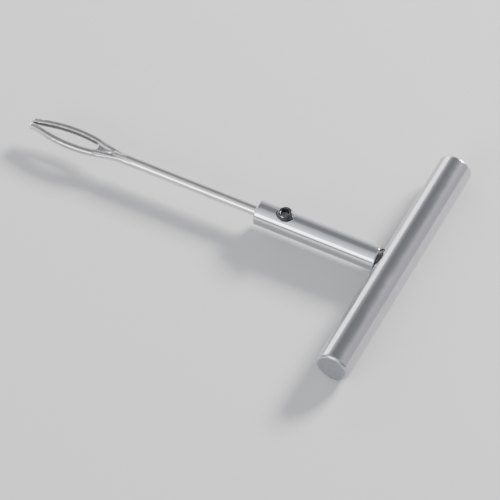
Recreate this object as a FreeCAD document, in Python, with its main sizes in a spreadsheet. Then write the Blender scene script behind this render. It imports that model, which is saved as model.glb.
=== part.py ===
import FreeCAD, Part
import math
import os

import Sketcher

# T-handled plug insertion tool: crossbar, shank, set screw and split-eye needle.
# Millimetres. The origin is where the crossbar's axis crosses the shank's axis. +X runs
# along the shank and needle towards the eye, +Y along the crossbar, and +Z up through
# the set screw.

SIZES = {
    # crossbar
    "bar_length": 86.0,
    "bar_diameter": 11.0,
    "bar_edge_round": 1.0,
    "cross_hole_depth": 8.5,
    # shank
    "spigot_diameter": 6.0,
    "spigot_length": 8.0,
    "spigot_chamfer": 0.5,
    "braze_gap": 0.02,
    "shank_diameter": 8.0,
    "shank_reach": 47.0,
    "collar_chamfer": 0.4,
    "mouth_chamfer": 0.4,
    "bore_chamfer": 0.25,
    # set screw and its tapped hole
    "screw_setback": 9.5,
    "thread_diameter": 5.0,
    "thread_play": 0.03,
    "countersink": 0.3,
    "well_clearance": 0.15,
    "screw_length": 4.0,
    "screw_top_chamfer": 0.3,
    "point_diameter": 2.5,
    "cup_depth": 0.4,
    "key_size": 2.5,
    "key_depth": 2.1,
    # needle
    "needle_length": 105.0,
    "needle_seat": 25.0,
    "needle_play": 0.05,
    "clamp_diameter": 4.6,
    "clamp_length": 18.5,
    "clamp_chamfer": 0.5,
    "flat_length": 17.5,
    "flat_drop": 0.95,
    "flat_runout": 1.0,
    "shoulder_length": 4.5,
    "shaft_diameter": 3.4,
    # split eye, measured back from the needle's tip
    "fork_length": 38.0,
    "eye_width": 8.0,
    "prong_diameter": 1.9,
    "prong_tuck": 0.1,
    "tip_slit": 0.5,
    "tip_round": 0.75,
    "tip_straight": 0.8,
    "opening_angle": 12.0,
    "closing_angle": 12.0,
    "fork_radius": 12.0,
    "eye_radius": 45.0,
    "nose_radius": 10.0,
    "crotch_distance": 23.5,
    "crotch_radius": 1.9,
    "web_thickness": 1.4,
    "web_root_distance": 34.5,
    "stem_taper_start": 33.0,
    "stem_taper_end": 26.0,
}
CUT_MARGIN = 1.0  # how far a cut runs past the surface that it opens


class Size:
    """A length held twice: as a number to place geometry, and as the sheet
    expression that the placed geometry is then bound to."""

    def __init__(self, value, text):
        self.value = value
        self.text = text

    def _join(self, other, sign, value):
        text = other.text if isinstance(other, Size) else repr(float(other))
        return Size(value, f"({self.text} {sign} {text})")

    def __add__(self, other):
        return self._join(other, "+", self.value + number(other))

    def __sub__(self, other):
        return self._join(other, "-", self.value - number(other))

    def __mul__(self, other):
        return self._join(other, "*", self.value * number(other))

    def __truediv__(self, other):
        return self._join(other, "/", self.value / number(other))

    def __neg__(self):
        return Size(-self.value, f"(0 - {self.text})")


def number(size):
    return size.value if isinstance(size, Size) else float(size)


def make_sheet(doc):
    """Write every driving size to a sheet and return them as Size values by name."""
    sheet = doc.addObject("Spreadsheet::Sheet", "Sizes")
    for row, (name, value) in enumerate(SIZES.items(), start=1):
        sheet.set(f"A{row}", name)
        sheet.set(f"B{row}", str(value))
        sheet.setAlias(f"B{row}", name)
    doc.recompute()
    return {name: Size(float(sheet.get(name)), f"Sizes.{name}") for name in SIZES}


def bind(obj, prop, size):
    """Tie one property of an object to the sheet."""
    obj.setExpression(prop, size.text)


def origin_plane(body, role):
    return next(item for item in body.Origin.OriginFeatures if item.Role == role)


def add_sketch(body, name, role, offset=None):
    """A sketch on one of the body's origin planes, raised along its normal by offset."""
    sketch = body.newObject("Sketcher::SketchObject", name)
    sketch.AttachmentSupport = (origin_plane(body, role), [""])
    sketch.MapMode = "FlatFace"
    if offset is not None:
        bind(sketch, "AttachmentOffset.Base.z", offset)
    return sketch


def hold_coordinate(sketch, kind, axis_line, geometry, point, size):
    """Fix one coordinate of a sketch point, measured from the sketch's origin."""
    if number(size) == 0.0:
        sketch.addConstraint(Sketcher.Constraint("PointOnObject", geometry, point, axis_line))
        return
    ends = (-1, 1, geometry, point) if number(size) > 0 else (geometry, point, -1, 1)
    index = sketch.addConstraint(Sketcher.Constraint(kind, *ends, abs(number(size))))
    if isinstance(size, Size):
        signed = size if size.value > 0 else -size
        bind(sketch, f"Constraints[{index}]", signed)


def hold_point(sketch, geometry, point, place):
    """Fix a sketch point at (x, y)."""
    hold_coordinate(sketch, "DistanceX", -2, geometry, point, place[0])
    hold_coordinate(sketch, "DistanceY", -1, geometry, point, place[1])


def hold_size(sketch, kind, geometry, size):
    """Fix a radius, diameter, length or slope of one piece of sketch geometry."""
    value = math.radians(size.value) if kind == "Angle" else size.value
    index = sketch.addConstraint(Sketcher.Constraint(kind, geometry, value))
    bind(sketch, f"Constraints[{index}]", size)


def spot(place):
    """A sketch place as a vector."""
    return FreeCAD.Vector(number(place[0]), number(place[1]), 0)


def add_outline(sketch, places):
    """A closed outline of straight lines whose corners are all tied to the sheet."""
    first = sketch.GeometryCount
    ends = places[1:] + places[:1]
    for start, end in zip(places, ends):
        sketch.addGeometry(Part.LineSegment(spot(start), spot(end)))
    count = len(places)
    for step in range(count):
        following = first + (step + 1) % count
        sketch.addConstraint(Sketcher.Constraint("Coincident", first + step, 2, following, 1))
    for step, place in enumerate(places):
        hold_point(sketch, first + step, 1, place)


def add_circle(sketch, place, diameter):
    circle = Part.Circle(spot(place), FreeCAD.Vector(0, 0, 1), diameter.value / 2)
    index = sketch.addGeometry(circle)
    hold_point(sketch, index, 3, place)
    hold_size(sketch, "Diameter", index, diameter)


def turn(body, kind, name, sketch, axis):
    """A full-turn Revolution or Groove of a sketch about one of its axes."""
    feature = body.newObject(f"PartDesign::{kind}", name)
    feature.Profile = sketch
    feature.ReferenceAxis = (sketch, [axis])
    feature.Angle = 360
    return feature


def make_body(doc, name):
    body = doc.addObject("PartDesign::Body", name)
    body.Label = name
    return body


def make_crossbar(doc, s):
    """Solid round bar along Y, with a blind cross hole from its +X side."""
    body = make_body(doc, "crossbar")
    section = add_sketch(body, "BarSection", "XZ_Plane")
    add_circle(section, (0, 0), s["bar_diameter"])
    bar = body.newObject("PartDesign::Pad", "Bar")
    bar.Profile = section
    bar.SideType = "Symmetric"
    bind(bar, "Length", s["bar_length"])
    doc.recompute()

    rims = [f"Edge{index}" for index, edge in enumerate(bar.Shape.Edges, start=1)
            if isinstance(edge.Curve, Part.Circle)]
    rounds = body.newObject("PartDesign::Fillet", "EndRounds")
    rounds.Base = (bar, rims)
    bind(rounds, "Radius", s["bar_edge_round"])

    surface = s["bar_diameter"] / 2
    bottom = surface - s["cross_hole_depth"]
    radius = s["spigot_diameter"] / 2 + s["braze_gap"]
    profile = add_sketch(body, "CrossHoleProfile", "XY_Plane")
    add_outline(profile, [
        (bottom, 0),
        (bottom, radius),
        (surface + CUT_MARGIN, radius),
        (surface + CUT_MARGIN, 0),
    ])
    turn(body, "Groove", "CrossHole", profile, "H_Axis")
    return body


def make_shank(doc, s):
    """Turned shank along X: spigot, collar face against the bar, bore and tapped hole."""
    body = make_body(doc, "shank")
    face = s["bar_diameter"] / 2
    root = face - s["spigot_length"]
    spigot = s["spigot_diameter"] / 2
    radius = s["shank_diameter"] / 2
    mouth = s["shank_reach"]
    profile = add_sketch(body, "TurnedProfile", "XY_Plane")
    add_outline(profile, [
        (root, 0),
        (root, spigot - s["spigot_chamfer"]),
        (root + s["spigot_chamfer"], spigot),
        (face, spigot),
        (face, radius - s["collar_chamfer"]),
        (face + s["collar_chamfer"], radius),
        (mouth - s["mouth_chamfer"], radius),
        (mouth, radius - s["mouth_chamfer"]),
        (mouth, 0),
    ])
    turn(body, "Revolution", "Turned", profile, "H_Axis")

    bore = s["clamp_diameter"] / 2 + s["needle_play"]
    bottom = mouth - s["needle_seat"]
    bore_profile = add_sketch(body, "BoreProfile", "XY_Plane")
    add_outline(bore_profile, [
        (bottom, 0),
        (bottom, bore),
        (mouth - s["bore_chamfer"], bore),
        (mouth + CUT_MARGIN, bore + s["bore_chamfer"] + CUT_MARGIN),
        (mouth + CUT_MARGIN, 0),
    ])
    turn(body, "Groove", "Bore", bore_profile, "H_Axis")

    centre = mouth - s["screw_setback"]
    thread = s["thread_diameter"] / 2
    floor = s["clamp_diameter"] / 2 - s["flat_drop"] - s["well_clearance"]
    hole_profile = add_sketch(body, "TappedHoleProfile", "XZ_Plane")
    add_outline(hole_profile, [
        (centre, floor),
        (centre + thread, floor),
        (centre + thread, radius - s["countersink"]),
        (centre + thread + s["countersink"] + CUT_MARGIN, radius + CUT_MARGIN),
        (centre, radius + CUT_MARGIN),
    ])
    axis = hole_profile.addGeometry(
        Part.LineSegment(spot((centre, 0)), spot((centre, radius))), True)
    hold_point(hole_profile, axis, 1, (centre, 0))
    hold_point(hole_profile, axis, 2, (centre, radius))
    turn(body, "Groove", "TappedHole", hole_profile, "Axis0")
    return body


def make_set_screw(doc, s):
    """Cup-point set screw along Z, modelled up from its point at z = 0."""
    body = make_body(doc, "set_screw")
    radius = s["thread_diameter"] / 2 - s["thread_play"]
    point = s["point_diameter"] / 2
    top = s["screw_length"]
    chamfer = s["screw_top_chamfer"]
    profile = add_sketch(body, "ScrewProfile", "XZ_Plane")
    add_outline(profile, [
        (0, s["cup_depth"]),
        (point, 0),
        (radius, radius - point),
        (radius, top - chamfer),
        (radius - chamfer, top),
        (0, top),
    ])
    turn(body, "Revolution", "ScrewBlank", profile, "V_Axis")

    flat = s["key_size"] / 2
    corner = s["key_size"] / math.sqrt(3)
    hexagon = add_sketch(body, "KeySection", "XY_Plane", offset=top)
    add_outline(hexagon, [
        (0, corner),
        (-flat, corner / 2),
        (-flat, -corner / 2),
        (0, -corner),
        (flat, -corner / 2),
        (flat, corner / 2),
    ])
    socket = body.newObject("PartDesign::Pocket", "KeySocket")
    socket.Profile = hexagon
    bind(socket, "Length", s["key_depth"])
    bind(body, "Placement.Base.x", s["shank_reach"] - s["screw_setback"])
    bind(body, "Placement.Base.z", s["clamp_diameter"] / 2 - s["flat_drop"])
    return body


def add_prong_path(body, s):
    """Centre line of the upper prong, from inside the stem to the tip: a straight
    root, an opening bend, the long bow of the eye and a bend that closes the tip."""
    opening = math.radians(s["opening_angle"].value)
    closing = math.radians(s["closing_angle"].value)
    fork, eye, nose = (s[name].value for name in ("fork_radius", "eye_radius", "nose_radius"))
    prong = s["prong_diameter"] / 2
    root_y = s["shaft_diameter"] / 2 - prong - s["prong_tuck"]
    widest_y = s["eye_width"] / 2 - prong
    tip_y = s["tip_slit"] / 2 + prong
    tip_x = s["needle_length"]
    start_x = tip_x - s["fork_length"]

    # first places of the bends, worked back from the tip
    nose_centre = (tip_x.value - s["tip_straight"].value, tip_y.value + nose)
    fall = (widest_y - tip_y).value - (eye + nose) * (1 - math.cos(closing))
    eye_x = nose_centre[0] - (eye + nose) * math.sin(closing) - fall / math.tan(closing)
    eye_centre = (eye_x, widest_y.value - eye)
    rise = (widest_y - root_y).value - (eye + fork) * (1 - math.cos(opening))
    fork_x = eye_x - (eye + fork) * math.sin(opening) - rise / math.tan(opening)
    fork_centre = (fork_x, root_y.value + fork)

    def arc(centre, radius, low, high):
        circle = Part.Circle(spot(centre), FreeCAD.Vector(0, 0, 1), radius)
        return Part.ArcOfCircle(circle, low, high)

    def line(start, end):
        return Part.LineSegment(start, end)

    quarter = math.pi / 2
    fork_arc = arc(fork_centre, fork, -quarter, -quarter + opening)
    eye_arc = arc(eye_centre, eye, quarter - closing, quarter + opening)
    nose_arc = arc(nose_centre, nose, -quarter - closing, -quarter)
    path = add_sketch(body, "ProngPath", "XY_Plane")
    path.addGeometry([
        line(spot((start_x, root_y)), fork_arc.StartPoint),
        fork_arc,
        line(fork_arc.EndPoint, eye_arc.EndPoint),
        eye_arc,
        line(eye_arc.StartPoint, nose_arc.StartPoint),
        nose_arc,
        line(nose_arc.EndPoint, spot((tip_x, tip_y))),
    ])
    # each join is smooth: (geometry, its end, next geometry, its end)
    joins = [(0, 2, 1, 1), (1, 2, 2, 1), (2, 2, 3, 2), (3, 1, 4, 1), (4, 2, 5, 1), (5, 2, 6, 1)]
    for join in joins:
        path.addConstraint(Sketcher.Constraint("Tangent", *join))
    path.addConstraint(Sketcher.Constraint("Horizontal", 0))
    path.addConstraint(Sketcher.Constraint("Horizontal", 6))
    hold_point(path, 0, 1, (start_x, root_y))
    hold_point(path, 6, 2, (tip_x, tip_y))
    hold_coordinate(path, "DistanceY", -1, 3, 3, widest_y - s["eye_radius"])
    hold_size(path, "Radius", 1, s["fork_radius"])
    hold_size(path, "Radius", 3, s["eye_radius"])
    hold_size(path, "Radius", 5, s["nose_radius"])
    hold_size(path, "Distance", 6, s["tip_straight"])
    hold_size(path, "Angle", 2, s["opening_angle"])
    bend = path.addConstraint(Sketcher.Constraint("Angle", 4, 2, -1, 2, closing))
    bind(path, f"Constraints[{bend}]", s["closing_angle"])
    return path, start_x, root_y


def add_web(body, s, root_half):
    """Flat web that joins the prongs between the stem and the crotch of the eye."""
    root = s["needle_length"] - s["web_root_distance"]
    crotch = s["needle_length"] - s["crotch_distance"]
    radius = s["crotch_radius"]
    centre = crotch + radius
    outline = add_sketch(body, "WebOutline", "XY_Plane")
    corners = [(root, root_half), (root, -root_half), (centre, -radius), (centre, radius)]
    outline.addGeometry([
        Part.LineSegment(spot(corners[3]), spot(corners[0])),
        Part.LineSegment(spot(corners[0]), spot(corners[1])),
        Part.LineSegment(spot(corners[1]), spot(corners[2])),
        Part.Arc(spot(corners[3]), spot((crotch, 0)), spot(corners[2])),
    ])
    for join in [(0, 2, 1, 1), (1, 2, 2, 1), (2, 2, 3, 2), (3, 1, 0, 1)]:
        outline.addConstraint(Sketcher.Constraint("Coincident", *join))
    hold_point(outline, 0, 2, corners[0])
    hold_point(outline, 1, 2, corners[1])
    hold_point(outline, 2, 2, corners[2])
    hold_point(outline, 0, 1, corners[3])
    hold_coordinate(outline, "DistanceX", -2, 3, 3, centre)
    web = body.newObject("PartDesign::Pad", "Web")
    web.Profile = outline
    web.SideType = "Symmetric"
    bind(web, "Length", s["web_thickness"])
    return web


def make_needle(doc, s):
    """Needle along X from its clamp end at x = 0 to the tips of the split eye."""
    body = make_body(doc, "needle")
    clamp = s["clamp_diameter"] / 2
    shaft = s["shaft_diameter"] / 2
    length = s["needle_length"]
    core = s["web_thickness"] / 2 - s["prong_tuck"] / 2
    profile = add_sketch(body, "StemProfile", "XY_Plane")
    add_outline(profile, [
        (0, 0),
        (0, clamp - s["clamp_chamfer"]),
        (s["clamp_chamfer"], clamp),
        (s["clamp_length"], clamp),
        (s["clamp_length"] + s["shoulder_length"], shaft),
        (length - s["stem_taper_start"], shaft),
        (length - s["stem_taper_end"], core),
        (length - s["stem_taper_end"], 0),
    ])
    turn(body, "Revolution", "Stem", profile, "H_Axis")
    doc.recompute()

    path, start_x, root_y = add_prong_path(body, s)
    section = add_sketch(body, "ProngSection", "YZ_Plane", offset=start_x)
    add_circle(section, (root_y, 0), s["prong_diameter"])
    prong = body.newObject("PartDesign::AdditivePipe", "Prong")
    prong.Profile = section
    prong.Spine = path
    doc.recompute()
    pair = body.newObject("PartDesign::Mirrored", "ProngPair")
    pair.Originals = [prong]
    pair.MirrorPlane = (origin_plane(body, "XZ_Plane"), [""])
    body.Tip = pair
    doc.recompute()

    add_web(body, s, root_y)
    doc.recompute()

    seat = clamp - s["flat_drop"]
    side = add_sketch(body, "FlatProfile", "XZ_Plane")
    add_outline(side, [
        (Size(-CUT_MARGIN, repr(-CUT_MARGIN)), seat),
        (s["flat_length"], seat),
        (s["flat_length"] + s["flat_runout"], clamp + CUT_MARGIN),
        (Size(-CUT_MARGIN, repr(-CUT_MARGIN)), clamp + CUT_MARGIN),
    ])
    flat = body.newObject("PartDesign::Pocket", "ClampFlat")
    flat.Profile = side
    flat.SideType = "Symmetric"
    bind(flat, "Length", s["clamp_diameter"] + CUT_MARGIN)
    doc.recompute()

    tip_x = length.value
    radius = s["prong_diameter"].value / 2
    rims = [f"Edge{index}" for index, edge in enumerate(flat.Shape.Edges, start=1)
            if isinstance(edge.Curve, Part.Circle)
            and abs(edge.Curve.Radius - radius) < 1e-6
            and abs(edge.CenterOfMass.x - tip_x) < 1e-6]
    rounds = body.newObject("PartDesign::Fillet", "TipRounds")
    rounds.Base = (flat, rims)
    bind(rounds, "Radius", s["tip_round"])
    bind(body, "Placement.Base.x", s["shank_reach"] - s["needle_seat"])
    return body


def check(doc, bodies):
    """Stop at any failed object or unsound solid."""
    failed = [item.Name for item in doc.Objects
              if "Invalid" in item.State or "Error" in item.State]
    if failed:
        raise RuntimeError(f"failed objects: {failed}")
    for body in bodies:
        shape = body.Shape
        if shape.isNull() or not shape.isValid() or len(shape.Solids) != 1:
            raise RuntimeError(f"{body.Label} is not one sound solid")


def main():
    doc = FreeCAD.newDocument("PlugInsertionTool")
    sizes = make_sheet(doc)
    bodies = [make(doc, sizes) for make in (make_crossbar, make_shank, make_set_screw, make_needle)]
    doc.recompute()
    check(doc, bodies)
    os.makedirs("parts", exist_ok=True)
    for body in bodies:
        body.Shape.exportStep(f"parts/{body.Label}.step")
        box = body.Shape.BoundBox
        print(f"{body.Label:10s} volume {body.Shape.Volume:9.2f} mm3   "
              f"x {box.XMin:7.2f} {box.XMax:7.2f}   y {box.YMin:7.2f} {box.YMax:7.2f}   "
              f"z {box.ZMin:6.2f} {box.ZMax:6.2f}")


main()
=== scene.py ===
import math

import bpy
import numpy as np
from bpy.props import FloatProperty, FloatVectorProperty, PointerProperty
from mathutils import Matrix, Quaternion, Vector


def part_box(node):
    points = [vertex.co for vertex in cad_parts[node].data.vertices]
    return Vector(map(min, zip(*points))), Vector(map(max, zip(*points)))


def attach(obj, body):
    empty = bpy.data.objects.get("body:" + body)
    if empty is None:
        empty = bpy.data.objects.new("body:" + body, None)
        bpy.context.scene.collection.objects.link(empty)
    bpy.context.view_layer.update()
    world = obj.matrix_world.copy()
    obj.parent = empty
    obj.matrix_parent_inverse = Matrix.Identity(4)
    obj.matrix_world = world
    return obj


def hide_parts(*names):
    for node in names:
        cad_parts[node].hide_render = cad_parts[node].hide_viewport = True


bl_info = {
    "name": "Tyre plug insertion tool",
    "version": (1, 0, 0),
    "blender": (4, 5, 0),
    "location": "View3D > Sidebar > Plug tool",
    "description": "Builds a chromed T-handle plug tool with a split-eye needle around its CAD frame",
    "category": "Add Mesh",
}

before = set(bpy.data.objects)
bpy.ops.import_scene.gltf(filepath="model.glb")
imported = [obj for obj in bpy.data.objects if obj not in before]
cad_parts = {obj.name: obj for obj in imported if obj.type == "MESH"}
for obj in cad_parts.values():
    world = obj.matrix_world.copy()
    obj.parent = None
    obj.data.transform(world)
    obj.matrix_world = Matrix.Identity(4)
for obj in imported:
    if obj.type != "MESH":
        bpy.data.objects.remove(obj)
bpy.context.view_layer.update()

MM = 0.001
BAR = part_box("crossbar")
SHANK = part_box("shank")
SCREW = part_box("set_screw")
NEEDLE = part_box("needle")
SCREW_X = (SCREW[0].x + SCREW[1].x) / 2

# small roundings where two faces meet, and how far a mesh grid runs past the surface
FINE_EDGE = 0.03 * MM
CRISP_EDGE = 0.04 * MM
EDGE = 0.05 * MM
TURNED_EDGE = 0.08 * MM
SOFT_EDGE = 0.1 * MM
MARGIN = 0.1 * MM

# mesh making
PROBE = 0.002 * MM  # how far either side of a point a slope is measured
LEAST_SLOPE = 0.05
LONGEST_MOVE = 0.15 * MM

# shank
SPIGOT_ROUND = 0.4 * MM
SPIGOT_OVERLAP = 1.0 * MM  # how far the spigot runs on inside the collar
BORE_CHAMFER = 0.25 * MM
WELL_FLOOR = 1.2 * MM  # the tapped hole ends inside the bore, this high above the axis
THREAD_GAP = 0.05 * MM
LEAD_IN = 0.45 * MM  # how far the countersink opens past the thread

# set screw
CREST_SHARE = 0.12  # part of each half turn that is flat crest
FLANK_SHARE = 0.74  # part of each half turn that is sloping flank
HELIX_EASE = 0.8  # keeps a threaded field from rising faster than true distance
CHAMFER_REACH = 0.15 * MM  # how much further in the top chamfer starts than its own width
CUP_RIM = 0.2 * MM
DRILL_SHARE = 0.98  # the socket's pilot drill over the key size
DRILL_EDGE = 1.1 * MM
DRILL_FALL = 0.12
MOUTH_SHARE = 0.6  # the radius of the socket's dished mouth over the key size
MOUTH_STEEPNESS = 1.4
MOUTH_EASE = 0.6

# needle, along from its clamp end
CLAMP_LENGTH = 18.5 * MM
CLAMP_CHAMFER = 0.5 * MM
CLAMP_OVERLAP = 4.0 * MM
FLAT_LENGTH = 17.5 * MM
FLAT_EDGE = 0.06 * MM
SHOULDER_LENGTH = 4.5 * MM
SHOULDER_ROUND = 0.4 * MM
SHOULDER_FILLET = 0.6 * MM
CONE_EASE = 0.99

# needle, back from its tips
PRONG_BEND = math.radians(12)
FORK_RADIUS = 12 * MM
BOW_RADIUS = 45 * MM
NOSE_RADIUS = 10 * MM
TIP_STRAIGHT = 0.8 * MM
TIP_ROUND = 0.8 * MM
PRONG_TUCK = 0.1 * MM
PRONG_ROOT = 36 * MM  # where the prongs start, hidden in the stem
PRONG_FREE = 31 * MM  # where they are clear of it
ROOT_INSET = 0.15 * MM
POINT_LENGTH = 6 * MM  # the prongs get lower over this length
POINT_FALL = 0.4
TAPER_PLACES = np.array([-34, -30, -25]) * MM
TAPER_DEPTHS = np.array([0, 0.45, 1.5]) * MM
STEM_END = 25 * MM
STEM_ROUND = 0.2 * MM
STEM_FILLET = 0.35 * MM
WEB_HALF = 0.65 * MM
WEB_ROUND = 0.45 * MM
WEB_FILLET = 0.4 * MM
SQUARENESS = 3.4  # 2 gives a prong a round section, and more makes it squarer
FLARE_TILT = math.radians(25)
FLARE_PLACES = np.array([-33.5, -25.0, -23.8, -22.6]) * MM
FLARE_REACHES = np.array([1.35, 0.93, 1.0, 1.5]) * MM
FORGED_LENGTH = 38 * MM
FORGED_FADE = 6 * MM
FORGED_TIP_FADE = 2 * MM
FORGED_DEPTH = 0.009 * MM

# finishes, with the painted shade in the joints and the eye and the painted light on the socket floor
PLATE_BUMP = 0.02 * MM
OXIDE_BUMP = 0.01 * MM
# painted shade: the dark colour put in the joint between the crossbar and the shank, over the reach set
# by the seam sizes below
SEAM_SHADE = (0.09, 0.085, 0.08)
BAR_SEAM_RADIUS = 3.9 * MM  # just inside the shank's outline
SEAM_OVERLAP = 1 * MM
SEAM_SHOWS = 0.12 * MM  # how far the seam shows past the crossbar's side
SEAM_RAGGED = 0.4 * MM
SLIT_START = 26 * MM  # back from the tips
SLIT_FADE = 2.5 * MM
FACE_RINGS = 3800.0
FACE_INSET = 0.25 * MM
OXIDE_MOTTLE = 1.9  # how much paler the oxide's light patches are
# painted light: the pale bare-steel patch on the socket floor
LIT_FLOOR_RADIUS = 1.5 * MM
LIT_FLOOR_HEIGHT = 0.3 * MM

# stage: places and distances in metres, and directions from the tool
TARGET = (0.0424, 0.0142, 0.0)
CAMERA_PLACE = (-0.3262, 0.6805, 0.9993)
CAMERA_ROLL = math.radians(-2.0)
CAMERA_LENS = 296.0
CAMERA_SENSOR = 36.0
FLOOR_REACH = 4.0
FLOOR_PALER = (0.8, 0.8, 0.8)
OVERHEAD = (0.03, -0.52, 0.85)
FRONT = (0.28, 0.85, 0.44)
UP = (0, 0, 1)
AHEAD = (0, 1, 0)
SKY_STRENGTH = 2.2
GLOW_TIGHTNESS = 3.0
SOFTBOXES = [
    # name, direction, distance, width and height
    ("key", FRONT, 1.6, (0.9, 0.55)),
    ("side", (0.8, -0.543, 0.28), 1.5, (1.2, 0.75)),
    ("back", (-0.3, -0.86, 0.42), 1.6, (0.5, 0.3)),
]


def rounded(length):
    """A length read from the frame's mesh, to the nearest hundredth of a millimetre."""
    return round(length, 5)


# ---------------------------------------------------------------- sizes and colours

def length(name, description, default):
    return FloatProperty(name=name, description=description, default=default, min=0.0,
                         precision=5, subtype="DISTANCE", unit="LENGTH")


def colour(name, description, default):
    return FloatVectorProperty(name=name, description=description, default=default, min=0.0,
                               max=1.0, size=3, subtype="COLOR")


def power(name, description, default):
    return FloatProperty(name=name, description=description, default=default, min=0.0,
                         unit="POWER")


class CrossbarSizes(bpy.types.PropertyGroup):
    length: length("Length", "End to end of the crossbar", rounded(BAR[1].y - BAR[0].y))
    radius: length("Radius", "Radius of the round bar", rounded(BAR[1].z))
    end_round: length("End rounding", "Rounding between the barrel and an end face", 1.0 * MM)
    hole_radius: length("Cross hole radius", "Radius of the hole that takes the shank", 3.02 * MM)
    hole_depth: length("Cross hole depth", "Depth of the hole below the barrel", 8.5 * MM)
    plate: colour("Plate", "Colour of the satin chrome", (0.52, 0.52, 0.535))
    haze: colour("Haze", "Colour where the plate is hazed by handling", (0.44, 0.44, 0.455))


class ShankSizes(bpy.types.PropertyGroup):
    radius: length("Radius", "Radius of the turned shank", rounded(SHANK[1].y))
    reach: length("Reach", "From the crossbar's axis to the mouth", rounded(SHANK[1].x))
    spigot_radius: length("Spigot radius", "Radius of the end inside the crossbar", 3.0 * MM)
    collar_chamfer: length("Collar chamfer", "Chamfer beside the crossbar", 0.4 * MM)
    mouth_chamfer: length("Mouth chamfer", "Chamfer around the mouth", 0.4 * MM)
    bore_radius: length("Bore radius", "Radius of the hole for the needle", 2.35 * MM)
    bore_depth: length("Bore depth", "How deep the needle sits", rounded(SHANK[1].x - NEEDLE[0].x))
    plate: colour("Plate", "Colour of the bright chrome", (0.66, 0.665, 0.68))
    haze: colour("Haze", "Colour where the plate is hazed by handling", (0.54, 0.545, 0.56))


class SetScrewSizes(bpy.types.PropertyGroup):
    radius: length("Thread radius", "Radius over the thread's crests", 2.45 * MM)
    pitch: length("Pitch", "Travel of one turn", 0.8 * MM)
    thread_depth: length("Thread depth", "Crest to root", 0.42 * MM)
    top_chamfer: length("Top chamfer", "Chamfer around the driven end", 0.3 * MM)
    point_radius: length("Point radius", "Radius of the cup point", 1.25 * MM)
    key_size: length("Key size", "Hex socket across flats", 2.5 * MM)
    key_depth: length("Key depth", "Depth of the hex socket", 2.1 * MM)
    oxide: colour("Oxide", "Colour of the black oxide", (0.009, 0.009, 0.0105))
    rubbed: colour("Rubbed steel", "Colour of the steel where the oxide is rubbed off", (0.5, 0.5, 0.52))


class NeedleSizes(bpy.types.PropertyGroup):
    shaft_radius: length("Shaft radius", "Radius of the round shaft", 1.7 * MM)
    clamp_radius: length("Clamp radius", "Radius of the end inside the shank", rounded(NEEDLE[1].z))
    flat_height: length("Flat height", "Height of the clamp flat above the axis", 1.35 * MM)
    eye_width: length("Eye width", "Width over both prongs", rounded(NEEDLE[1].y - NEEDLE[0].y))
    prong_radius: length("Prong radius", "Half the width of one prong", 0.95 * MM)
    prong_height: length("Prong height", "Half the height of one prong", 1.05 * MM)
    tip_slit: length("Tip slit", "Gap between the prongs at the tip", 0.5 * MM)
    crotch: length("Crotch distance", "From the tips to the inner end of the eye", 23.5 * MM)
    crotch_radius: length("Crotch radius", "Inner radius at that end", 1.9 * MM)
    nickel: colour("Nickel", "Colour of the bright nickel", (0.74, 0.73, 0.71))
    scale: colour("Forge tint", "Colour of the duller forged eye", (0.56, 0.55, 0.53))
    # painted shade: the dark colour put on the walls inside the eye, which face its middle
    slit: colour("Slit walls", "Colour of the sawn walls inside the eye", (0.17, 0.16, 0.15))


class StageLooks(bpy.types.PropertyGroup):
    floor: colour("Floor", "Colour of the floor", (0.54, 0.535, 0.53))
    horizon: colour("Horizon", "Light from low down, behind and to the sides", (0.36, 0.355, 0.385))
    low_front: colour("Low front", "Light from low down in front", (0.07, 0.07, 0.07))
    overhead: colour("Overhead", "Light from the dark ceiling behind", (0.14, 0.143, 0.15))
    front: colour("Front", "Light from above the front", (0.88, 0.93, 1.0))
    key_power: power("Key power", "Power of the narrow softbox in front", 9.0)
    side_power: power("Side power", "Power of the card beyond the needle", 9.0)
    back_power: power("Back power", "Power of the lamp behind, which casts the shadows", 72.0)


# ---------------------------------------------------------------- solid shapes as fields

def round_and(a, b, radius):
    """Both fields at once, with the edge between them rounded."""
    a, b = a + radius, b + radius
    return np.minimum(np.maximum(a, b), 0) + np.hypot(np.maximum(a, 0), np.maximum(b, 0)) - radius


def round_or(a, b, radius):
    """Either field, with a fillet where they meet."""
    return -round_and(-a, -b, radius)


def slope(a, b):
    """A 45 degree face through the points where a + b is zero."""
    return (a + b) / math.sqrt(2)


def steps(*stops, end):
    """Grid lines from (place, step) stops to the end; each step holds as far as the next stop."""
    lines = []
    finishes = [place for place, _ in stops[1:]] + [end]
    for (start, step), finish in zip(stops, finishes):
        count = max(1, round((finish - start) / step))
        lines.extend(np.linspace(start, finish, count, endpoint=False))
    lines.append(end)
    return np.array(lines)


def gradient(field, points):
    """The field's slope at each point, measured a little to either side."""
    found = np.empty_like(points)
    for axis in range(3):
        ahead, behind = points.copy(), points.copy()
        ahead[:, axis] += PROBE
        behind[:, axis] -= PROBE
        found[:, axis] = (field(*ahead.T) - field(*behind.T)) / (2 * PROBE)
    return found


def settle(field, points, rounds):
    """Move points onto the surface, along the field's slope."""
    for _ in range(rounds):
        pull = gradient(field, points)
        size = np.maximum((pull ** 2).sum(1), LEAST_SLOPE)
        move = (field(*points.T) / size)[:, None] * pull
        points = points - np.clip(move, -LONGEST_MOVE, LONGEST_MOVE)
    return points


def other_axes(axis):
    return [n for n in range(3) if n != axis]


def neighbours(values, axis, trimmed):
    """Each value and the next one along the axis; the other axes may lose their two ends."""
    side = slice(1, -1) if trimmed else slice(None)
    low, high = [side] * 3, [side] * 3
    low[axis], high[axis] = slice(None, -1), slice(1, None)
    return values[tuple(low)], values[tuple(high)]


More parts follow.
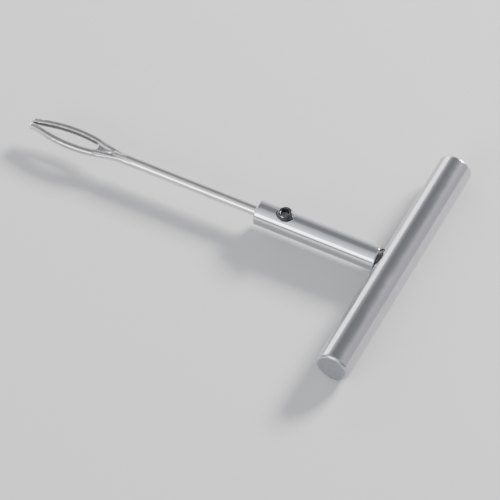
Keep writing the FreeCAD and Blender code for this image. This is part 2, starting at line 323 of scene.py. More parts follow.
def surface_points(values, lines):
    """One point in each grid cell that the surface crosses, at the mean of its edge crossings,
    and the points' numbers by cell."""
    inside = values < 0
    shape = tuple(n - 1 for n in values.shape)
    total, weight = np.zeros(shape + (3,)), np.zeros(shape)
    for axis in range(3):
        a, b = neighbours(values, axis, False)
        inner, outer = neighbours(inside, axis, False)
        crossing = inner != outer
        part = np.where(crossing, a / np.where(crossing, a - b, 1), 0)
        others = other_axes(axis)
        for first, second in ((0, 0), (0, 1), (1, 0), (1, 1)):
            pick = [slice(None)] * 3
            pick[others[0]] = slice(first, first + shape[others[0]])
            pick[others[1]] = slice(second, second + shape[others[1]])
            hit, along = crossing[tuple(pick)], part[tuple(pick)]
            weight += hit
            for n in range(3):
                view = [None] * 3
                view[n] = slice(None)
                if n == axis:
                    start = lines[n][:-1][tuple(view)]
                    place = start + along * np.diff(lines[n])[tuple(view)]
                else:
                    offset = first if n == others[0] else second
                    place = lines[n][offset:offset + shape[n]][tuple(view)]
                total[..., n] += np.where(hit, place, 0)
    active = weight > 0
    index = np.full(shape, -1)
    index[active] = np.arange(active.sum())
    return total[active] / weight[active][:, None], index


def surface_quads(inside, index):
    """A quad round each grid edge that the surface crosses, wound to face outward."""
    quads = []
    for axis in range(3):
        others = other_axes(axis)
        a, b = neighbours(inside, axis, True)
        where = np.argwhere(a != b)
        where[:, others] += 1
        outward = a[a != b]
        ring = []
        for first, second in ((1, 1), (0, 1), (0, 0), (1, 0)):
            cell = where.copy()
            cell[:, others[0]] -= first
            cell[:, others[1]] -= second
            ring.append(index[tuple(cell.T)])
        ring = np.stack(ring, 1)
        turned = outward if axis != 1 else ~outward
        ring[~turned] = ring[~turned][:, ::-1]
        quads.append(ring)
    return np.concatenate(quads)


def even_out(field, points, quads, rounds):
    """Space the points evenly over the surface, then settle them on it."""
    for _ in range(rounds):
        points = settle(field, points, 2)
        spread, count = np.zeros_like(points), np.zeros(len(points))
        for near in (1, 3):
            np.add.at(spread, quads, points[np.roll(quads, near, 1)])
            np.add.at(count, quads, 1)
        points = points + 0.5 * (spread / count[:, None] - points)
    return settle(field, points, 4)


def skin(name, field, xs, ys, zs, ease=3):
    """A mesh of quads over the surface where the field is zero, with the field's own normals."""
    values = field(*np.meshgrid(xs, ys, zs, indexing="ij", sparse=True))
    points, index = surface_points(values, (xs, ys, zs))
    quads = surface_quads(values < 0, index)
    points = even_out(field, points, quads, ease)
    normals = gradient(field, points)
    normals /= np.linalg.norm(normals, axis=1)[:, None]

    mesh = bpy.data.meshes.new(name)
    mesh.from_pydata(points.tolist(), [], quads.tolist())
    mesh.polygons.foreach_set("use_smooth", [True] * len(mesh.polygons))
    mesh.update()
    mesh.normals_split_custom_set_from_vertices(normals.tolist())
    piece = bpy.data.objects.new(name, mesh)
    bpy.context.scene.collection.objects.link(piece)
    return piece


# ---------------------------------------------------------------- shader building

class Nodes:
    """Short calls for adding and joining the nodes of one tree."""

    def __init__(self, tree):
        self.tree = tree
        tree.nodes.clear()

    def add(self, kind, inputs=None, **settings):
        node = self.tree.nodes.new(kind)
        for key, value in settings.items():
            setattr(node, key, value)
        for key, value in (inputs or {}).items():
            self.feed(node.inputs[key], value)
        return node

    def feed(self, socket, value):
        if isinstance(value, bpy.types.NodeSocket):
            self.tree.links.new(value, socket)
        else:
            socket.default_value = value

    def math(self, operation, *values, clamp=False):
        node = self.add("ShaderNodeMath", operation=operation, use_clamp=clamp)
        for socket, value in zip(node.inputs, values):
            self.feed(socket, value)
        return node.outputs[0]

    def stretch(self, value, low, high, to_low=0.0, to_high=1.0):
        node = self.add("ShaderNodeMapRange", {
            "Value": value, "From Min": low, "From Max": high,
            "To Min": to_low, "To Max": to_high})
        return node.outputs[0]

    def mix(self, factor, a, b):
        node = self.add("ShaderNodeMix", data_type="RGBA")
        self.feed(node.inputs[0], factor)
        self.feed(node.inputs[6], a)
        self.feed(node.inputs[7], b)
        return node.outputs[2]

    def noise(self, vector, scale, detail, rough):
        node = self.add("ShaderNodeTexNoise", {
            "Vector": vector, "Scale": scale, "Detail": detail, "Roughness": rough})
        return node.outputs[0]

    def swing(self, value, amount):
        """A value from 0 to 1 turned into half the amount either way."""
        return self.math("MULTIPLY", self.math("SUBTRACT", value, 0.5), amount)

    def place(self):
        """Where a point lies on its own piece."""
        return self.add("ShaderNodeTexCoord").outputs["Object"]

    def split(self, vector):
        return self.add("ShaderNodeSeparateXYZ", {"Vector": vector}).outputs

    def off_axis(self, a, b):
        """Distance from the axis that a and b are measured from."""
        squares = [self.math("MULTIPLY", side, side) for side in (a, b)]
        return self.math("SQRT", self.math("ADD", *squares))

    def scaled(self, vector, by):
        node = self.add("ShaderNodeVectorMath", operation="MULTIPLY")
        self.feed(node.inputs[0], vector)
        self.feed(node.inputs[1], by)
        return node.outputs[0]


def new_group(name, inputs, outputs):
    """An empty shader group with the named sockets, each (kind, name, default)."""
    group = bpy.data.node_groups.new(name, "ShaderNodeTree")
    for kind, label, default in inputs:
        socket = group.interface.new_socket(name=label, in_out="INPUT", socket_type=kind)
        socket.default_value = default
    for kind, label in outputs:
        group.interface.new_socket(name=label, in_out="OUTPUT", socket_type=kind)
    nodes = Nodes(group)
    return group, nodes, nodes.add("NodeGroupInput").outputs, nodes.add("NodeGroupOutput").inputs


FLOAT, VECTOR, COLOUR = "NodeSocketFloat", "NodeSocketVector", "NodeSocketColor"


def plated_group():
    """Plated metal: handling haze, faint finishing lines and stray specks."""
    name = "Plated metal"
    if name in bpy.data.node_groups:
        return bpy.data.node_groups[name]
    group, n, given, out = new_group(name, [
        (COLOUR, "Plate", (0.7, 0.7, 0.7, 1)), (COLOUR, "Haze", (0.5, 0.5, 0.5, 1)),
        (FLOAT, "Haze Amount", 0.5), (FLOAT, "Smooth", 0.1), (FLOAT, "Rough", 0.25),
        (VECTOR, "Lines Along", (1.0, 1.0, 1.0)), (FLOAT, "Line Depth", 0.5),
        (FLOAT, "Ripple", 0.5),
    ], [(COLOUR, "Color"), (FLOAT, "Roughness"), (FLOAT, "Height")])
    place = n.place()
    cloud = n.noise(place, scale=90.0, detail=3.0, rough=0.55)
    smear = n.noise(n.scaled(place, (1.0, 0.35, 1.0)), scale=420.0, detail=4.0, rough=0.6)
    cover = n.math("ADD", n.math("MULTIPLY", cloud, 0.65), n.math("MULTIPLY", smear, 0.35))
    cover = n.stretch(cover, low=0.42, high=0.66)
    haze = n.math("MULTIPLY", cover, given["Haze Amount"], clamp=True)
    lines = n.noise(n.scaled(place, given["Lines Along"]), scale=1.0, detail=3.0, rough=0.7)
    speck = n.stretch(n.noise(place, scale=5200.0, detail=2.0, rough=0.6), low=0.66, high=0.74)
    n.feed(out["Color"], n.mix(haze, given["Plate"], given["Haze"]))
    spread = n.math("SUBTRACT", given["Rough"], given["Smooth"])
    rough = n.math("ADD", given["Smooth"], n.math("MULTIPLY", haze, spread))
    rough = n.math("ADD", rough, n.math("MULTIPLY", speck, 0.08))
    n.feed(out["Roughness"], n.math("ADD", rough, n.swing(lines, 0.12), clamp=True))
    ripple = n.math("MULTIPLY", n.noise(place, scale=260.0, detail=1.0, rough=0.4), given["Ripple"])
    n.feed(out["Height"], n.math("ADD", n.math("MULTIPLY", lines, given["Line Depth"]), ripple))
    return group


def rub_group():
    """Where a raised edge is rubbed bare, as a mask."""
    name = "Rubbed edges"
    if name in bpy.data.node_groups:
        return bpy.data.node_groups[name]
    group, n, given, out = new_group(name, [
        (FLOAT, "Edge Start", 0.52), (FLOAT, "Edge Full", 0.6), (FLOAT, "Break Up", 0.3),
    ], [(FLOAT, "Rub")])
    edge = n.add("ShaderNodeNewGeometry").outputs["Pointiness"]
    patch = n.swing(n.noise(n.place(), scale=900.0, detail=3.0, rough=0.6), given["Break Up"])
    raised = n.math("ADD", edge, n.math("MULTIPLY", patch, 0.3))
    n.feed(out["Rub"], n.stretch(raised, low=given["Edge Start"], high=given["Edge Full"]))
    return group


def joint_group():
    """Painted shade inside the seam between the crossbar and the shank, as a mask."""
    name = "Brazed seam"
    if name in bpy.data.node_groups:
        return bpy.data.node_groups[name]
    group, n, given, out = new_group(name, [
        (FLOAT, "Seam Radius", 1.0), (FLOAT, "Seam Start", 0.0), (FLOAT, "Seam End", 1.0),
    ], [(FLOAT, "Seam")])
    place = n.place()
    spot = n.split(place)
    aside = n.off_axis(spot["Y"], spot["Z"])
    ragged = n.swing(n.noise(place, scale=1800.0, detail=3.0, rough=0.6), SEAM_RAGGED)
    within = n.math("SUBTRACT", given["Seam Radius"], n.math("ADD", aside, ragged))
    along = n.math("SUBTRACT", given["Seam End"], n.math("ADD", spot["X"], ragged))
    after = n.math("SUBTRACT", spot["X"], given["Seam Start"])
    nearest = n.math("MINIMUM", n.math("MINIMUM", within, along), after)
    n.feed(out["Seam"], n.stretch(nearest, low=-0.03 * MM, high=0.1 * MM))
    return group


def slit_group():
    """Painted shade on the walls that face the middle of the eye, as a mask."""
    name = "Slit walls"
    if name in bpy.data.node_groups:
        return bpy.data.node_groups[name]
    group, n, given, out = new_group(name, [(FLOAT, "Eye Start", 0.0)], [(FLOAT, "Inside")])
    place = n.place()
    spot = n.split(place)
    facing = n.split(n.add("ShaderNodeTexCoord").outputs["Normal"])
    inward = n.math("MULTIPLY", n.math("SIGN", spot["Y"]), n.math("MULTIPLY", facing["Y"], -1.0))
    patch = n.swing(n.noise(place, scale=1300.0, detail=3.0, rough=0.6), 0.5)
    walls = n.stretch(n.math("ADD", inward, patch), low=0.5, high=0.8)
    past = n.math("SUBTRACT", spot["X"], given["Eye Start"])
    n.feed(out["Inside"], n.math("MULTIPLY", walls, n.stretch(past, low=0.0, high=SLIT_FADE)))
    return group


def new_material(name):
    """An empty material and the calls that build it."""
    material = bpy.data.materials.new(name)
    material.use_nodes = True
    return material, Nodes(material.node_tree)


def use_group(n, group, inputs):
    """Place a shader group with its own values, and return what it puts out."""
    node = n.add("ShaderNodeGroup", node_tree=group)
    for key, value in inputs.items():
        n.feed(node.inputs[key], value)
    return node.outputs


def bumped(n, height, distance):
    node = n.add("ShaderNodeBump", {"Height": height, "Distance": distance, "Strength": 1.0})
    return node.outputs[0]


def finish_material(n, inputs):
    shader = n.add("ShaderNodeBsdfPrincipled", inputs)
    n.add("ShaderNodeOutputMaterial", {"Surface": shader.outputs[0]})


def opaque(rgb):
    return (*rgb, 1.0)


def turned_face(n, across, along, start):
    """Rings left by facing cuts, on the faces past a start along the piece's axis."""
    split = n.split(n.place())
    out = n.off_axis(*(split[axis] for axis in across))
    spot = n.add("ShaderNodeCombineXYZ", {"X": n.math("MULTIPLY", out, FACE_RINGS)}).outputs[0]
    rings = n.noise(spot, scale=1.0, detail=3.0, rough=0.6)
    past = n.stretch(n.math("ABSOLUTE", split[along]), low=start - EDGE, high=start)
    return n.math("MULTIPLY", rings, past)


def plated_material(name, plate, haze, values, painted_shade=None, shade_tint=None, face=None):
    """Plated metal, with painted shade, also rougher, where a group's mask gives it, and a turned face,
    where asked.
    """
    material, n = new_material(name)
    metal = use_group(n, plated_group(), {"Plate": opaque(plate), "Haze": opaque(haze), **values})
    tint, rough, height = metal["Color"], metal["Roughness"], metal["Height"]
    if painted_shade:
        group, output, places = painted_shade
        # painted shade: the mask darkens the plate toward the shade tint
        mask = use_group(n, group, places)[output]
        tint = n.mix(mask, tint, opaque(shade_tint))
        rough = n.math("MAXIMUM", rough, n.math("MULTIPLY", mask, 0.5))
    if face:
        rings = turned_face(n, *face)
        height = n.math("ADD", height, n.math("MULTIPLY", rings, 0.6))
        rough = n.math("ADD", rough, n.math("MULTIPLY", rings, 0.2))
    finish_material(n, {
        "Base Color": tint, "Metallic": 1.0, "Roughness": rough,
        "Normal": bumped(n, height, PLATE_BUMP)})
    return material


def oxide_material(name, oxide, rubbed, lit_floor_below, lit_floor_radius):
    """Black oxide, rubbed bright on its rim, with painted light on the socket floor as pale bare steel.
    """
    material, n = new_material(name)
    rub = use_group(n, rub_group(), {"Edge Start": 0.53, "Edge Full": 0.62, "Break Up": 0.6})
    place = n.place()
    spot = n.split(place)
    out = n.off_axis(n.math("SUBTRACT", spot["X"], SCREW_X), spot["Y"])
    # painted light: the socket floor is given pale bare steel so that it reads as lit
    low_down = n.stretch(spot["Z"], low=lit_floor_below + 0.15 * MM, high=lit_floor_below)
    middle = n.stretch(out, low=lit_floor_radius, high=lit_floor_radius - 0.1 * MM)
    bare = n.math("MULTIPLY", low_down, middle)
    mottle = n.noise(place, scale=1500.0, detail=3.0, rough=0.6)
    dark = n.mix(mottle, opaque(oxide), opaque([c * OXIDE_MOTTLE for c in oxide]))
    # the rubbed rim is real wear; the socket floor patch is painted light
    worn_and_lit_floor = n.math("MAXIMUM", n.math("MULTIPLY", rub["Rub"], 0.7), bare)
    rough = n.stretch(mottle, low=0.3, high=0.7, to_low=0.2, to_high=0.34)
    finish_material(n, {
        "Base Color": n.mix(worn_and_lit_floor, dark, opaque(rubbed)),
        "Metallic": worn_and_lit_floor,
        "Roughness": n.math("MAXIMUM", rough, n.math("MULTIPLY", bare, 0.6)),
        "Specular IOR Level": 0.6,
        "Normal": bumped(n, mottle, OXIDE_BUMP)})
    return material


def put_on(piece, material):
    piece.data.materials.clear()
    piece.data.materials.append(material)


def hand_over(piece, body, node):
    """Let the piece stand for its CAD node, which is hidden."""
    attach(piece, body)
    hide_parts(node)


# ---------------------------------------------------------------- the pieces

def crossbar_field(s):
    half, bottom = s.length / 2, s.radius - s.hole_depth

    def field(x, y, z):
        barrel = round_and(np.hypot(x, z) - s.radius, np.abs(y) - half, s.end_round)
        hole = round_and(np.hypot(y, z) - s.hole_radius, bottom - x, SOFT_EDGE)
        return round_and(barrel, -hole, EDGE)

    return field


def turned_shank(s):
    """The shank's outside and needle bore, before its tapped hole."""
    face, root = BAR[1].x, SHANK[0].x

    def field(x, y, z):
        r = np.hypot(y, z)
        spigot = round_and(r - s.spigot_radius, root - x, SPIGOT_ROUND)
        spigot = np.maximum(spigot, x - face - SPIGOT_OVERLAP)
        side = r - s.radius
        collar = round_and(side, face - x, TURNED_EDGE)
        collar = round_and(collar, slope(side + s.collar_chamfer, face - x), TURNED_EDGE)
        collar = round_and(collar, x - s.reach, TURNED_EDGE)
        collar = round_and(collar, slope(side + s.mouth_chamfer, x - s.reach), TURNED_EDGE)
        bore = np.maximum(r - s.bore_radius, s.reach - s.bore_depth - x)
        bore = np.minimum(bore, slope(r - s.bore_radius - BORE_CHAMFER, s.reach - x))
        return round_and(np.minimum(spigot, collar), -bore, CRISP_EDGE)

    return field


def thread_wave(z, around, pitch, depth):
    """How far a right-handed thread's flank stands in from its crest, 0 to depth."""
    turn = (z / pitch - around / math.tau) % 1.0
    tooth = np.abs(turn - 0.5) * 2
    return depth * np.clip((tooth - CREST_SHARE) / FLANK_SHARE, 0, 1)


def shank_field(s, screw):
    turned = turned_shank(s)

    def field(x, y, z):
        out, around = np.hypot(x - SCREW_X, y), np.arctan2(y, x - SCREW_X)
        wave = thread_wave(z, around, screw.pitch, screw.thread_depth)
        thread = (out - (screw.radius + THREAD_GAP - wave)) * HELIX_EASE
        countersink = slope(out - screw.radius - LEAD_IN, s.radius - z)
        hole = np.maximum(np.minimum(thread, countersink), WELL_FLOOR - z)
        return round_and(turned(x, y, z), -hole, EDGE)

    return field


def key_socket(s, x, y, z, out):
    """The hex socket, with its pilot drill's cone below and its dished mouth above."""
    bottom, high = SCREW[1].z - s.key_depth, SCREW[1].z
    turns = (0, math.pi / 3, -math.pi / 3)
    flats = [np.abs(x * math.cos(turn) + y * math.sin(turn)) for turn in turns]
    hexagon = np.maximum(np.maximum(flats[0], flats[1]), flats[2]) - s.key_size / 2
    socket = np.maximum(hexagon, bottom - z)
    drill_cone = (bottom - z) + (out - DRILL_EDGE) * DRILL_FALL
    drill = np.maximum(out - DRILL_SHARE * s.key_size / 2, drill_cone)
    mouth = out - s.key_size * MOUTH_SHARE + (high - z) * MOUTH_STEEPNESS
    return np.minimum(np.minimum(socket, drill), mouth * MOUTH_EASE)


def set_screw_field(s):
    low, high = SCREW[0].z, SCREW[1].z

    def field(x, y, z):
        dx = x - SCREW_X
        out, around = np.hypot(dx, y), np.arctan2(y, dx)
        wave = thread_wave(z, around, s.pitch, s.thread_depth)
        body = (out - (s.radius - wave)) * HELIX_EASE
        body = round_and(body, z - high, CRISP_EDGE)
        chamfer = slope(out - s.radius + s.top_chamfer + CHAMFER_REACH, z - high)
        body = round_and(body, chamfer, EDGE)
        body = round_and(body, slope(out - s.point_radius, low - z), EDGE)
        body = round_and(body, low - z, CRISP_EDGE)
        cup = slope(out - s.point_radius + CUP_RIM, z - low)
        body = round_and(body, -cup, FINE_EDGE)
        return round_and(body, -key_socket(s, dx, y, z, out), FINE_EDGE)

    return field


def prong_line(s):
    """Points along one prong's centre line: root, opening bend, bow, closing bend, tip."""
    tip = NEEDLE[1].x
    root_y = s.shaft_radius - s.prong_radius - PRONG_TUCK
    wide_y = s.eye_width / 2 - s.prong_radius
    tip_y = s.tip_slit / 2 + s.prong_radius
    nose_x, nose_y = tip - TIP_STRAIGHT, tip_y + NOSE_RADIUS
    sine, drop = math.sin(PRONG_BEND), 1 - math.cos(PRONG_BEND)
    fall = wide_y - tip_y - (BOW_RADIUS + NOSE_RADIUS) * drop
    bow_x = nose_x - (BOW_RADIUS + NOSE_RADIUS) * sine - fall / math.tan(PRONG_BEND)
    rise = wide_y - root_y - (BOW_RADIUS + FORK_RADIUS) * drop
    fork_x = bow_x - (BOW_RADIUS + FORK_RADIUS) * sine - rise / math.tan(PRONG_BEND)
    bend = np.linspace(0, PRONG_BEND, 12)
    bow = np.linspace(-PRONG_BEND, PRONG_BEND, 40)
    before, beyond = fork_x - 60 * MM, tip + 5 * MM
    xs = np.concatenate([
        [before], fork_x + FORK_RADIUS * np.sin(bend), bow_x + BOW_RADIUS * np.sin(bow),
        nose_x - NOSE_RADIUS * np.sin(bend[::-1]), [beyond]])
    ys = np.concatenate([
        [root_y], root_y + FORK_RADIUS - FORK_RADIUS * np.cos(bend),
        wide_y - BOW_RADIUS + BOW_RADIUS * np.cos(bow),
        nose_y - NOSE_RADIUS * np.cos(bend[::-1]), [tip_y]])
    return xs, ys


def clamp_end(s, x, z, r):
    """The needle's thicker end with its flat, as far as the cone of its shoulder."""
    back = NEEDLE[0].x
    shoulder, flat_end = back + CLAMP_LENGTH, back + FLAT_LENGTH
    clamp = round_and(r - s.clamp_radius, back - x, EDGE)
    clamp = round_and(clamp, slope(r - s.clamp_radius + CLAMP_CHAMFER, back - x), SOFT_EDGE)
    clamp = np.maximum(clamp, x - shoulder - CLAMP_OVERLAP)
    above = z - s.flat_height
    flat = np.where(x > flat_end, slope(above, flat_end - x), above)
    clamp = round_and(clamp, flat, FLAT_EDGE)
    narrowing = s.shaft_radius - s.clamp_radius
    cone = s.clamp_radius + (x - shoulder) * narrowing / SHOULDER_LENGTH
    return round_and(clamp, (r - cone) * CONE_EASE, SHOULDER_ROUND)


def stem_shape(s, x, r):
    """The round shaft, tapering away between the prongs."""
    tip = NEEDLE[1].x
    taper = np.interp(x, tip + TAPER_PLACES, TAPER_DEPTHS)
    stem = round_and(r - s.shaft_radius + taper, x - tip + STEM_END, STEM_ROUND)
    return np.maximum(stem, NEEDLE[0].x + CLAMP_LENGTH - x)


def prong_shape(s, x, z, r, outward):
    """Both prongs: squarish in section, with flared flanks at the fork and lower points."""
    tip = NEEDLE[1].x
    point = np.clip((x - tip + POINT_LENGTH) / POINT_LENGTH, 0, 1) ** 2
    side = np.abs(outward) / s.prong_radius
    up = np.abs(z) / (s.prong_height * (1 - POINT_FALL * point))
    size = (side ** SQUARENESS + up ** SQUARENESS + 1e-9) ** (1 / SQUARENESS)
    section = (size - 1) * s.prong_radius
    flare = np.interp(x, tip + FLARE_PLACES, FLARE_REACHES)
    flank = outward * math.sin(FLARE_TILT) + np.abs(z) * math.cos(FLARE_TILT) - flare
    prong = round_and(round_and(section, flank, SOFT_EDGE), x - tip, TIP_ROUND)
    prong = np.maximum(prong, tip - PRONG_ROOT - x)
    room = np.interp(x, [tip - PRONG_ROOT, tip - PRONG_FREE],
                     [s.shaft_radius - ROOT_INSET, s.eye_width])
    return np.maximum(prong, r - room)


def web_shape(s, x, y, z, outward):
    """The flat web between the prongs, hollowed by the round end of the eye."""
    tip = NEEDLE[1].x
    crotch = tip - s.crotch + s.crotch_radius
    web = round_and(np.abs(z) - WEB_HALF, s.crotch_radius - np.hypot(x - crotch, y), WEB_ROUND)
    web = np.maximum(web, np.maximum(x - crotch, tip - PRONG_ROOT - x))
    return np.maximum(web, outward)


def hammering(x, y, z):
    """The shallow unevenness that forging leaves on the eye, as a change of depth.
    The waves are in radians for each metre, with a phase."""
    tip = NEEDLE[1].x
    forged = np.clip((x - tip + FORGED_LENGTH) / FORGED_FADE, 0, 1)
    forged = forged * np.clip((tip - MM - x) / FORGED_TIP_FADE, 0, 1)
    waves = (np.sin(x * 1900 + 0.6) * np.sin(y * 1500 + z * 900 + 1.1)
             + np.sin(x * 3100 + y * 700 + 2.0) * np.sin(z * 1700 + 0.4))
    return forged * (FORGED_DEPTH * waves)


def needle_field(s):
    line_x, line_y = prong_line(s)

    def field(x, y, z):
        r = np.hypot(y, z)
        outward = np.abs(y) - np.interp(x, line_x, line_y)
        prongs = prong_shape(s, x, z, r, outward)
        fork = round_or(prongs, web_shape(s, x, y, z, outward), WEB_FILLET)
        blade = round_or(stem_shape(s, x, r), fork, STEM_FILLET)
        whole = round_or(blade, clamp_end(s, x, z, r), SHOULDER_FILLET)
        return whole + hammering(x, y, z)

    return field


class PLUGTOOL_OT_crossbar(bpy.types.Operator):
    """Build the satin chromed crossbar"""
    bl_idname = "plugtool.crossbar"
    bl_label = "Crossbar"

    def execute(self, context):
        s = context.scene.plug_crossbar
        half, hole, edge = s.length / 2, s.hole_radius, s.radius + 0.13 * MM
        across = steps((-edge, 0.2 * MM), end=edge)
        ys = steps((-half - MARGIN, 0.1 * MM), (-half + 1.2 * MM, 1.4 * MM),
                   (-hole - 0.4 * MM, 0.14 * MM), (hole + 0.4 * MM, 1.4 * MM),
                   (half - 1.2 * MM, 0.1 * MM), end=half + MARGIN)
        piece = skin("crossbar_barrel", crossbar_field(s), across, ys, across)
        finish = {"Haze Amount": 0.5, "Smooth": 0.15, "Rough": 0.25,
                  "Lines Along": (150.0, 14000.0, 150.0), "Line Depth": 0.12, "Ripple": 0.5}
        seam = {"Seam Radius": BAR_SEAM_RADIUS, "Seam Start": 0.0,
                "Seam End": s.radius + SEAM_OVERLAP}
        # painted shade on the crossbar where the shank meets it, given by the seam mask
        put_on(piece, plated_material(
            "Satin chrome", s.plate, s.haze, finish, painted_shade=(joint_group(), "Seam", seam),
            shade_tint=SEAM_SHADE, face=("XZ", "Y", half - FACE_INSET)))
        hand_over(piece, "handle", "crossbar")
        return {"FINISHED"}


class PLUGTOOL_OT_shank(bpy.types.Operator):
    """Build the bright shank with its needle bore and tapped hole"""
    bl_idname = "plugtool.shank"
    bl_label = "Shank"

    def execute(self, context):
        s = context.scene.plug_shank
        edge = s.radius + MARGIN
        across = steps((-edge, 0.1 * MM), end=edge)
        face, root, reach = BAR[1].x, SHANK[0].x, s.reach
        bottom = reach - s.bore_depth
        xs = steps((root - MARGIN, 0.1 * MM), (root + 0.7 * MM, 0.9 * MM),
                   (face - 0.2 * MM, 0.08 * MM), (face + 1.0 * MM, 0.9 * MM),
                   (bottom - 0.2 * MM, 0.1 * MM), (bottom + 0.2 * MM, 0.9 * MM),
                   (SCREW_X - 3.2 * MM, 0.1 * MM), (SCREW_X + 3.2 * MM, 0.8 * MM),
                   (reach - 0.8 * MM, 0.07 * MM), end=reach + MARGIN)
        field = shank_field(s, context.scene.plug_set_screw)
        piece = skin("shank_barrel", field, xs, across, across)
        finish = {"Haze Amount": 0.35, "Smooth": 0.08, "Rough": 0.18,
                  "Lines Along": (9000.0, 150.0, 150.0), "Line Depth": 0.15, "Ripple": 0.5}
        seam = {"Seam Radius": s.radius - s.collar_chamfer, "Seam Start": root - SEAM_OVERLAP,
                "Seam End": face + SEAM_SHOWS}
        # painted shade on the collar's end and spigot in the joint with the crossbar
        put_on(piece, plated_material(
            "Bright chrome", s.plate, s.haze, finish, painted_shade=(joint_group(), "Seam", seam),
            shade_tint=SEAM_SHADE))
        hand_over(piece, "handle", "shank")
        return {"FINISHED"}


class PLUGTOOL_OT_set_screw(bpy.types.Operator):
    """Build the black hex socket set screw"""
    bl_idname = "plugtool.set_screw"
    bl_label = "Set screw"

    def execute(self, context):
        s = context.scene.plug_set_screw
        edge, fine = s.radius + MARGIN, 0.07 * MM
        xs = steps((SCREW_X - edge, fine), end=SCREW_X + edge)
        ys = steps((-edge, fine), end=edge)
        zs = steps((SCREW[0].z - MARGIN, fine), end=SCREW[1].z + MARGIN)
        piece = skin("set_screw_body", set_screw_field(s), xs, ys, zs, ease=2)
        # painted light on the socket floor, as pale bare steel
        lit_floor_below = SCREW[1].z - s.key_depth + LIT_FLOOR_HEIGHT
        put_on(piece, oxide_material("Black oxide", s.oxide, s.rubbed, lit_floor_below, LIT_FLOOR_RADIUS))
        hand_over(piece, "set_screw", "set_screw")
        return {"FINISHED"}


class PLUGTOOL_OT_needle(bpy.types.Operator):
    """Build the needle with its split eye"""
    bl_idname = "plugtool.needle"
    bl_label = "Needle"

    def execute(self, context):
        s = context.scene.plug_needle
        back, tip = NEEDLE[0].x, NEEDLE[1].x
        wide, high, fine = s.eye_width / 2 + 0.15 * MM, s.clamp_radius + 0.12 * MM, 0.13 * MM
        xs = steps((back - MARGIN, 0.1 * MM), (back + 0.8 * MM, 0.8 * MM),
                   (back + 17.2 * MM, 0.1 * MM), (back + 19 * MM, 0.5 * MM),
                   (back + 24 * MM, 1.2 * MM), (tip - 37 * MM, 0.16 * MM),
                   (tip - 1.5 * MM, 0.1 * MM), end=tip + MARGIN)
        ys = steps((-wide, fine), end=wide)
        zs = steps((-high, fine), end=high)
        piece = skin("needle_blade", needle_field(s), xs, ys, zs)
        finish = {"Haze Amount": 0.55, "Smooth": 0.1, "Rough": 0.24,
                  "Lines Along": (250.0, 6000.0, 6000.0), "Line Depth": 0.3, "Ripple": 0.8}
        walls = {"Eye Start": tip - SLIT_START}
        # painted shade on the eye's inner walls, given by the slit mask
        put_on(piece, plated_material(
            "Bright nickel", s.nickel, s.scale, finish, painted_shade=(slit_group(), "Inside", walls),
            shade_tint=s.slit))
        hand_over(piece, "needle", "needle")
        return {"FINISHED"}


# ---------------------------------------------------------------- stage

def add_floor(s):
    """A pale plane under the crossbar, with a faint unevenness of tone."""
    height = BAR[0].z
    sides = ((-1, -1), (1, -1), (1, 1), (-1, 1))
    corners = [(x * FLOOR_REACH, y * FLOOR_REACH, height) for x, y in sides]
    mesh = bpy.data.meshes.new("floor")
    mesh.from_pydata(corners, [], [(0, 1, 2, 3)])
    floor = bpy.data.objects.new("floor", mesh)
    bpy.context.scene.collection.objects.link(floor)
    material, n = new_material("Pale floor")
    tone = n.math("MULTIPLY", n.noise(n.place(), scale=3.0, detail=2.0, rough=0.5), 0.1)
    finish_material(n, {
        "Base Color": n.mix(tone, opaque(s.floor), opaque(FLOOR_PALER)),
        "Roughness": 0.65, "Specular IOR Level": 0.3})
    put_on(floor, material)


def aim(thing, target):
    """Turn a light or camera so that it looks at the target."""
    thing.rotation_mode = "QUATERNION"
    thing.rotation_quaternion = (Vector(target) - thing.location).to_track_quat("-Z", "Y")


def add_softbox(name, direction, distance, size, power):
    light = bpy.data.lights.new(name, "AREA")
    light.shape = "RECTANGLE"
    light.size, light.size_y = size
    light.energy = power
    lamp = bpy.data.objects.new(name, light)
    lamp.location = Vector(TARGET) + Vector(direction).normalized() * distance
    aim(lamp, TARGET)
    lamp.visible_camera = False
    bpy.context.scene.collection.objects.link(lamp)


def add_world(s):
    """Pale low down behind and at the sides, dark low in front and overhead, and bright
    above the front."""
    world = bpy.data.worlds.new("Studio")
    bpy.context.scene.world = world
    world.use_nodes = True
    n = Nodes(world.node_tree)
    facing = n.add("ShaderNodeTexCoord").outputs["Generated"]

    def toward(direction, start, full):
        dot = n.add("ShaderNodeVectorMath", operation="DOT_PRODUCT")
        n.feed(dot.inputs[0], facing)
        n.feed(dot.inputs[1], Vector(direction).normalized())
        return n.stretch(dot.outputs["Value"], start, full)

    ahead = toward(AHEAD, start=0.0, full=0.7)
    light = n.mix(ahead, opaque(s.horizon), opaque(s.low_front))
    light = n.mix(toward(OVERHEAD, start=0.75, full=0.94), light, opaque(s.overhead))
    glow = n.math("POWER", toward(FRONT, start=0.1, full=1.0), GLOW_TIGHTNESS)
    glow = n.math("MULTIPLY", glow, toward(UP, start=0.04, full=0.3))
    light = n.mix(glow, light, opaque(s.front))
    shader = n.add("ShaderNodeBackground", {"Color": light, "Strength": SKY_STRENGTH})
    n.add("ShaderNodeOutputWorld", {"Surface": shader.outputs[0]})


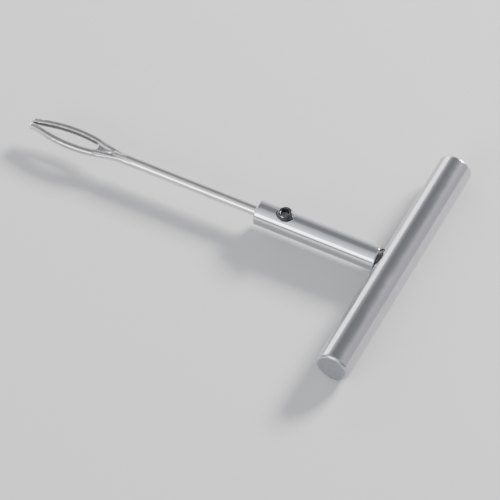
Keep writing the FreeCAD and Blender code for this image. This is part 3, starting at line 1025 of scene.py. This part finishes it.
def add_camera():
    data = bpy.data.cameras.new("camera")
    data.sensor_width = CAMERA_SENSOR
    data.lens = CAMERA_LENS
    camera = bpy.data.objects.new("camera", data)
    bpy.context.scene.collection.objects.link(camera)
    camera.location = CAMERA_PLACE
    aim(camera, TARGET)
    camera.rotation_quaternion @= Quaternion(UP, CAMERA_ROLL)
    bpy.context.scene.camera = camera


class PLUGTOOL_OT_stage(bpy.types.Operator):
    """Build the floor, the studio light and the camera"""
    bl_idname = "plugtool.stage"
    bl_label = "Stage"

    def execute(self, context):
        s = context.scene.plug_stage
        add_floor(s)
        add_world(s)
        for name, direction, distance, size in SOFTBOXES:
            add_softbox(name, direction, distance, size, getattr(s, name + "_power"))
        add_camera()
        return {"FINISHED"}


class PLUGTOOL_PT_panel(bpy.types.Panel):
    """Sizes, colours and build buttons of the tool"""
    bl_idname = "PLUGTOOL_PT_panel"
    bl_label = "Plug insertion tool"
    bl_space_type = "VIEW_3D"
    bl_region_type = "UI"
    bl_category = "Plug tool"

    def draw(self, context):
        for name, kind, operator in PARTS:
            box = self.layout.box()
            box.operator(operator.bl_idname)
            sizes = getattr(context.scene, name)
            for prop in kind.__annotations__:
                box.prop(sizes, prop)


PARTS = [
    ("plug_crossbar", CrossbarSizes, PLUGTOOL_OT_crossbar),
    ("plug_shank", ShankSizes, PLUGTOOL_OT_shank),
    ("plug_set_screw", SetScrewSizes, PLUGTOOL_OT_set_screw),
    ("plug_needle", NeedleSizes, PLUGTOOL_OT_needle),
    ("plug_stage", StageLooks, PLUGTOOL_OT_stage),
]


def register():
    for name, kind, operator in PARTS:
        bpy.utils.register_class(kind)
        bpy.utils.register_class(operator)
        setattr(bpy.types.Scene, name, PointerProperty(type=kind))
    bpy.utils.register_class(PLUGTOOL_PT_panel)


def unregister():
    bpy.utils.unregister_class(PLUGTOOL_PT_panel)
    for name, kind, operator in reversed(PARTS):
        delattr(bpy.types.Scene, name)
        bpy.utils.unregister_class(operator)
        bpy.utils.unregister_class(kind)


def main():
    register()
    bpy.ops.plugtool.crossbar()
    bpy.ops.plugtool.shank()
    bpy.ops.plugtool.set_screw()
    bpy.ops.plugtool.needle()
    bpy.ops.plugtool.stage()


if __name__ == "__main__":
    main()
